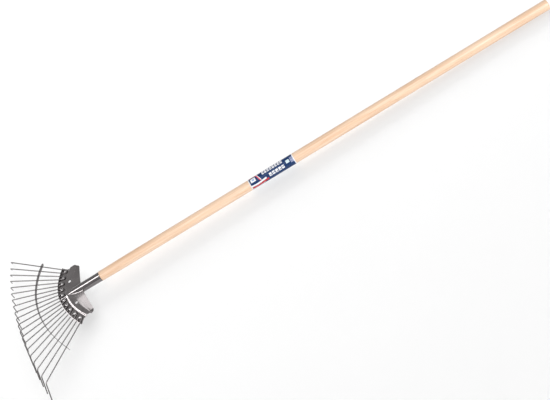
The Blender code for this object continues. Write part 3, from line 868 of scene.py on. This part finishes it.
def head_section(share):
    """One fine section of the pressed head, from its flange to its back edge."""
    flange = Vector((share * FLANGE_HALF, 0.0))
    flange.y = FLANGE_SETBACK + FLANGE_SWEEP * (flange.x / ARCH_HALF) ** 2
    bead = Vector((share * BEAD_HALF, 0.0))
    bead.y = BEAD_AT + BEAD_SWEEP * (bead.x / BEAD_HALF) ** 2
    back = Vector((share * BEAD_HALF, 0.0))
    back.y = BACK_AT + BACK_SLOPE * back.x
    corner = max(0.0, (back.x - BEAD_HALF + CORNER_RADIUS) / CORNER_RADIUS)
    back.y -= CORNER_RADIUS * (1.0 - math.sqrt(max(0.0, 1.0 - corner ** 2)))
    crest = Vector((share * CREST_HALF, 0.0))
    crest.y = max(CREST_AT + CREST_SLOPE * crest.x, bead.y + LEAST_SHELF)
    crest.y = min(crest.y, back.y - LEAST_PANEL)

    run = (bead - flange).normalized()
    rise = (crest - bead) / 6.0
    fall = (back - crest) / 4.0
    back_top = BACK_TOP - BACK_DROP * back.x / BEAD_HALF
    floor_middle = (flange + bead) / 2 - Vector((FLOOR_BOW * share ** 6, 0.0))
    section = [
        (flange - run * LIP_WIDTH, FLANGE_TOP - LIP_FALL),
        (flange, FLANGE_TOP),
        (flange + run * 0.0004, 0.0042),
        (flange + run * 0.0010, 0.0026),
        (flange + run * 0.0024, FLOOR),
        (floor_middle, FLOOR),
        (bead - run * 0.0040, FLOOR),
        (bead - run * 0.0032, 0.0032),
        (bead - run * 0.0020, 0.0054),
        (bead, BEAD_TOP),
        (bead + rise * 0.6, BEAD_TOP + (CREST_TOP - BEAD_TOP) * 0.30),
        (bead + rise * 1.7, BEAD_TOP + (CREST_TOP - BEAD_TOP) * 0.90),
        (bead + rise * 3.2, CREST_TOP),
        (bead + rise * 4.6, CREST_TOP),
        (bead + rise * 5.5, CREST_TOP),
        (crest, CREST_TOP),
        (crest + fall * 0.8, CREST_TOP + (back_top - CREST_TOP) * 0.12),
        (crest + fall * 2.2, CREST_TOP + (back_top - CREST_TOP) * 0.50),
        (back, back_top),
    ]
    line = spline([Vector((place.x, place.y, height)) for place, height in section],
                  SECTION_STEPS)
    starts = [sum(SECTION_STEPS[:i]) for i in range(len(section))]
    front, full_from, full_to, rear = (starts[i] for i in RIB_POINTS)
    for index, point in enumerate(line):
        share_in = min((index - front) / (full_from - front), (rear - index) / (rear - full_to))
        rib = RIB_HEIGHT * math.exp(-(point.x / RIB_WIDTH) ** 2) * smoothstep(share_in)
        point.z = min(point.z + rib, FLANGE_TOP) + arch(point.x)
    return line


def head_normal(x):
    slope = -2.0 * ARCH_DROP * x / ARCH_HALF ** 2
    return Vector((-slope, 0.0, 1.0)).normalized()


def make_head(finish):
    """Both wings as one sheet, with its holes and the notch for the socket.

    The sections lie closer together near the middle and near the wings' ends.
    """
    shares = []
    for i in range(HEAD_COLUMNS + 1):
        even = i / HEAD_COLUMNS
        eased = (1.0 - EVEN_SHARE) / 2 * (1.0 - math.cos(math.pi * even))
        shares.append(EVEN_SHARE * even + eased)
    half = [head_section(share) for share in shares]
    flip = Matrix.Diagonal((-1.0, 1.0, 1.0))
    other = [[flip @ point for point in line] for line in half[:0:-1]]
    points, faces = sheet_shell(other + half, SHEET, 0.0, edge=0.25, ease=16)
    head = add_piece("pressed_head", points, faces, finish, "graphite_paint", ["head_plate"])

    legs, studs, wings = [], [], []
    for side in (-1, 1):
        for leg in range(LEGS_PER_SIDE):
            root = leg_root(side, leg)
            ahead = (leg_bend(side, leg) - root).normalized()
            legs.append((root - ahead * 0.002, root + ahead * 0.004))
        for pair in range(LEGS_PER_SIDE // 2):
            place, _ = stud_place(side, pair)
            up = head_normal(place.x)
            studs.append((place - up * 0.006, place + up * 0.004))
        x, y = WING_HOLE_AT
        wings.append((Vector((side * x, y, -0.02)), Vector((side * x, y, 0.02))))
    cut(head, legs, WIRE_RADIUS + HOLE_CLEARANCE, 20)
    cut(head, studs, SHANK_RADIUS + CUT_GAP, 20)
    cut(head, wings, WING_HOLE_RADIUS, 40)

    notch = bmesh.new()
    rings = []
    for i in range(25):
        y = lerp(NOSE - 0.001, SOCKET_MOUTH, (i / 24) ** 2)
        rise, radius = socket_section(y)
        rings.append([Vector(((radius + CUT_GAP) * math.sin(a), y,
                              rise + (radius + CUT_GAP) * math.cos(a)))
                      for a in (math.tau * k / 48 for k in range(48))])
    points, faces = join_rings(rings)
    vertices = [notch.verts.new(point) for point in points]
    for face in faces:
        notch.faces.new([vertices[i] for i in face])
    bmesh.ops.recalc_face_normals(notch, faces=notch.faces)
    subtract(head, notch)
    PRESSED.objects.link(head)
    return head


# ---- tines, studs and brace ----------------------------------------------------


def leg_root(side, leg):
    x = ROOT_PITCH * (leg + 0.5)
    y = ROOT_SETBACK + FLANGE_SWEEP * (x / ARCH_HALF) ** 2
    return Vector((side * x, y, ROOT_HEIGHT + arch(x)))


def leg_bend(side, leg):
    """Sharp corner of a leg, before its bend is rounded."""
    step = leg + 0.5
    outermost = LEGS_PER_SIDE - 0.5
    x = BEND_PITCH * step * (1.0 + BEND_SPREAD * (step / outermost) ** 2)
    y = BEND_AT + BEND_SWEEP * (x / BEND_HALF) ** 2
    z = BEND_HEIGHT - BEND_DROP * (x / BEND_HALF) ** BEND_POWER
    return Vector((side * x, y, z))


def leg_hook(side, leg):
    """Vector from a leg's corner to its tip: down, forward and splayed outward."""
    x = abs(leg_bend(side, leg).x)
    splay = HOOK_SPLAY * x + HOOK_SPLAY_EASE * x * x
    drop = math.sqrt(HOOK_LENGTH ** 2 - splay ** 2 - HOOK_LEAN ** 2)
    return Vector((side * splay, HOOK_LEAN, -drop))


def stud_place(side, pair):
    """Centre of a stud on the channel floor, and the way its tines lead from it."""
    legs = (2 * pair, 2 * pair + 1)
    root = sum((leg_root(side, leg) for leg in legs), Vector()) / 2
    bend = sum((leg_bend(side, leg) for leg in legs), Vector()) / 2
    ahead = (bend - root).to_2d().normalized()
    place = root.to_2d() - ahead * (STUD_SETBACK + STUD_SETBACK_STEP * pair)
    return Vector((place.x, place.y, FLOOR + arch(place.x))), ahead


def pair_number(side, pair):
    """Number of a hairpin or stud, counted from the -X end of the fan."""
    middle = LEGS_PER_SIDE // 2
    return middle - pair if side < 0 else middle + pair + 1


def hairpin_path(side, pair):
    """Tip, hook, leg, loop round the stud, and back to the other tip."""
    centre, ahead = stud_place(side, pair)
    across = Vector((-ahead.y, ahead.x)) * -side
    loop = []
    turns = 20
    for i in range(turns + 1):
        turn = math.pi * i / turns
        flat = (centre.to_2d() - across * (LOOP_RADIUS * math.cos(turn))
                - ahead * (LOOP_RADIUS * math.sin(turn)))
        loop.append(Vector((flat.x, flat.y, LOOP_HEIGHT + arch(flat.x))))
    legs = []
    for leg in (2 * pair, 2 * pair + 1):
        corner = leg_bend(side, leg)
        root = leg_root(side, leg)
        near = min(loop[0], loop[-1], key=lambda point: (point - root).length)
        tip = corner + leg_hook(side, leg)
        bend = rounded_corner(tip, corner, root, BEND_RADIUS, 12)
        eased = rounded_corner(corner, root, near, ROOT_ROUNDING, 5)
        run = [lerp(bend[-1], eased[0], i / 10) for i in range(1, 10)]
        legs.append([tip, *[lerp(tip, bend[0], i / 4) for i in range(1, 4)], *bend,
                     *run, *eased])
    if (loop[0] - legs[0][-1]).length > (loop[-1] - legs[0][-1]).length:
        loop.reverse()
    return [*legs[0], *loop, *reversed(legs[1])]


def make_hairpins(finish):
    for side in (-1, 1):
        for pair in range(LEGS_PER_SIDE // 2):
            number = pair_number(side, pair)
            points, faces = wire(hairpin_path(side, pair), WIRE_RADIUS, 14)
            add_piece(f"hairpin_{number:02d}", points, faces, finish, "spring_wire",
                      [f"tine_pair_{number:02d}"], sharp=50.0)


def make_studs(finish):
    """Rivets with a low domed head and a rolled tail."""
    tail = -SHEET - CUT_GAP
    edge = STUD_HEAD_UNDER + 0.0003
    profile = [(0.0003, tail - STUD_TAIL_HEIGHT),
               (STUD_TAIL_RADIUS - 0.0010, tail - STUD_TAIL_HEIGHT),
               (STUD_TAIL_RADIUS - 0.0004, tail - STUD_TAIL_HEIGHT * 0.8),
               (STUD_TAIL_RADIUS, tail - STUD_TAIL_HEIGHT * 0.35),
               (STUD_TAIL_RADIUS - 0.0002, tail),
               (SHANK_RADIUS, tail), (SHANK_RADIUS, STUD_HEAD_UNDER),
               (STUD_HEAD_RADIUS - 0.0002, STUD_HEAD_UNDER), (STUD_HEAD_RADIUS, edge)]
    for i in range(1, 8):
        turn = math.radians(90.0 * i / 8)
        profile.append((STUD_HEAD_RADIUS * math.cos(turn) ** 0.8,
                        lerp(edge, STUD_HEAD_TOP, math.sin(turn))))
    profile.append((0.0004, STUD_HEAD_TOP))
    for side in (-1, 1):
        for pair in range(LEGS_PER_SIDE // 2):
            number = pair_number(side, pair)
            place, _ = stud_place(side, pair)
            turn = head_normal(place.x).to_track_quat("Z", "Y").to_matrix().to_4x4()
            points, faces = turned(profile, 32, Matrix.Translation(place) @ turn)
            stud = add_piece(f"rivet_{number:02d}", points, faces, finish, "fastener_steel",
                             [f"tine_stud_{number:02d}"], sharp=50.0)
            PRESSED.objects.link(stud)


def brace_line(x):
    return BRACE_AT + BRACE_SWEEP * (x / BRACE_REACH) ** 2


def brace_crossing(side, leg):
    """Point of a straight leg that lies on the brace's curve."""
    root = leg_root(side, leg)
    bend = leg_bend(side, leg)
    low, high = 0.0, 1.0
    for _ in range(40):
        middle = (low + high) / 2
        place = root.lerp(bend, middle)
        if place.y > brace_line(place.x):
            low = middle
        else:
            high = middle
    return place


def make_brace(finish):
    """Strip on edge with rounded ends, drilled for the tines."""
    columns, rows = 170, 7
    grid = []
    for c in range(columns + 1):
        even = 2.0 * c / columns - 1.0
        x = BRACE_HALF * even
        middle = BRACE_HEIGHT - BRACE_DROP * (abs(x) / BRACE_REACH) ** BRACE_POWER
        end = max(0.0, (abs(x) - BRACE_HALF + BRACE_DEPTH / 2) / (BRACE_DEPTH / 2))
        half = BRACE_DEPTH / 2 * math.sqrt(max(0.04, 1.0 - end ** 2))
        grid.append([Vector((x, brace_line(x), middle + half * (2.0 * r / rows - 1.0)))
                     for r in range(rows + 1)])
    points, faces = sheet_shell(grid, BRACE_THICKNESS, 0.5)
    brace = add_piece("brace_bar", points, faces, finish, "spring_wire", ["brace_strip"])
    spans = []
    for side in (-1, 1):
        for leg in range(LEGS_PER_SIDE):
            place = brace_crossing(side, leg)
            ahead = (leg_bend(side, leg) - leg_root(side, leg)).normalized()
            spans.append((place - ahead * 0.004, place + ahead * 0.004))
    cut(brace, spans, WIRE_RADIUS + HOLE_CLEARANCE, 20)


# ---- stage ---------------------------------------------------------------------


def make_floor():
    form = bmesh.new()
    bmesh.ops.create_circle(form, cap_ends=True, segments=96, radius=FLOOR_RADIUS)
    mesh = bpy.data.meshes.new("pale_floor")
    form.to_mesh(mesh)
    form.free()
    mesh.materials.append(table_top())
    floor = bpy.data.objects.new("pale_floor", mesh)
    STAGE.objects.link(floor)
    floor.location.z = -FLOOR_GAP


def add_light(name, aim, way, distance, size, radiance, receivers):
    """A rectangular softbox that faces aim from a distance along way.

    size is its width and its length, the length as near to the handle's direction
    as it goes. The softbox lights the receivers collection only.
    """
    light = bpy.data.lights.new(name, "AREA")
    light.shape = "RECTANGLE"
    light.size, light.size_y = size
    light.energy = radiance * math.pi * size[0] * size[1]
    made = bpy.data.objects.new(name, light)
    bpy.context.scene.collection.objects.link(made)
    away = Vector(way).normalized()
    across = Vector((0.0, 1.0, 0.0)).cross(away).normalized()
    along = away.cross(across)
    turn = Matrix((across, along, away)).transposed().to_4x4()
    made.matrix_world = Matrix.Translation(Vector(aim) + away * distance) @ turn
    made.light_linking.receiver_collection = receivers


def light_scene():
    world = bpy.data.worlds.new("studio")
    bpy.context.scene.world = world
    world.use_nodes = True
    sky = world.node_tree.nodes["Background"]
    sky.inputs["Color"].default_value = (1.0, 1.0, 1.0, 1.0)
    sky.inputs["Strength"].default_value = WORLD_STRENGTH
    head = (0.0, -0.62, 0.03)
    add_light("top_strip", (0.0, -0.1, 0.0), (0.15, -0.50, 0.85), 2.4, (0.55, 3.4), 10.0, METAL)
    add_light("panel_softbox", head, (-0.45, 0.235, 0.87), 2.5, (1.1, 1.55), 2.6, PRESSED)
    add_light("bead_softbox", head, (-0.33, -0.65, 0.69), 2.5, (1.8, 0.8), 10.5, PRESSED)
    add_light("lip_softbox", head, (-0.33, -0.88, 0.27), 2.5, (1.9, 0.9), 9.0, PRESSED)
    add_light("front_key", (0.0, 0.1, 0.0), (0.65, 0.45, 0.61), 3.5, (1.6, 1.2), 10.5, RAKE)
    add_light("floor_light", (0.0, 0.0, 0.0), (-0.45, 0.0, 0.89), 8.0, (11.0, 10.0), 1.2, STAGE)
    add_light("floor_side", (0.0, 0.0, 0.0), (-0.90, 0.0, 0.44), 8.0, (4.0, 10.0), 6.0, STAGE)
    add_light("handle_fill", (0.0, 0.0, 0.0), (0.35, -0.25, 0.90), 2.4, (1.2, 3.0), 2.2, WOODEN)


def place_camera():
    data = bpy.data.cameras.new("camera")
    data.sensor_width = 36.0
    data.sensor_fit = "HORIZONTAL"
    data.lens = CAMERA_LENS
    camera = bpy.data.objects.new("camera", data)
    bpy.context.scene.collection.objects.link(camera)
    away = Vector(CAMERA_PLACE) - Vector(CAMERA_TARGET)
    look = away.to_track_quat("Z", "Y").to_matrix().to_4x4()
    roll = Matrix.Rotation(math.radians(CAMERA_ROLL), 4, "Z")
    camera.matrix_world = Matrix.Translation(CAMERA_PLACE) @ look @ roll
    bpy.context.scene.camera = camera


def main():
    wood, paint, spring, plated = beech(), graphite(), spring_steel(), zinc()
    make_handle(wood)
    make_label(label_film())
    make_socket(paint)
    head = make_head(paint)
    make_fillets(head, paint)
    make_screw(plated)
    make_studs(plated)
    make_hairpins(spring)
    make_brace(spring)
    make_floor()
    light_scene()
    place_camera()
    bpy.context.scene.view_settings.view_transform = "Standard"


main()
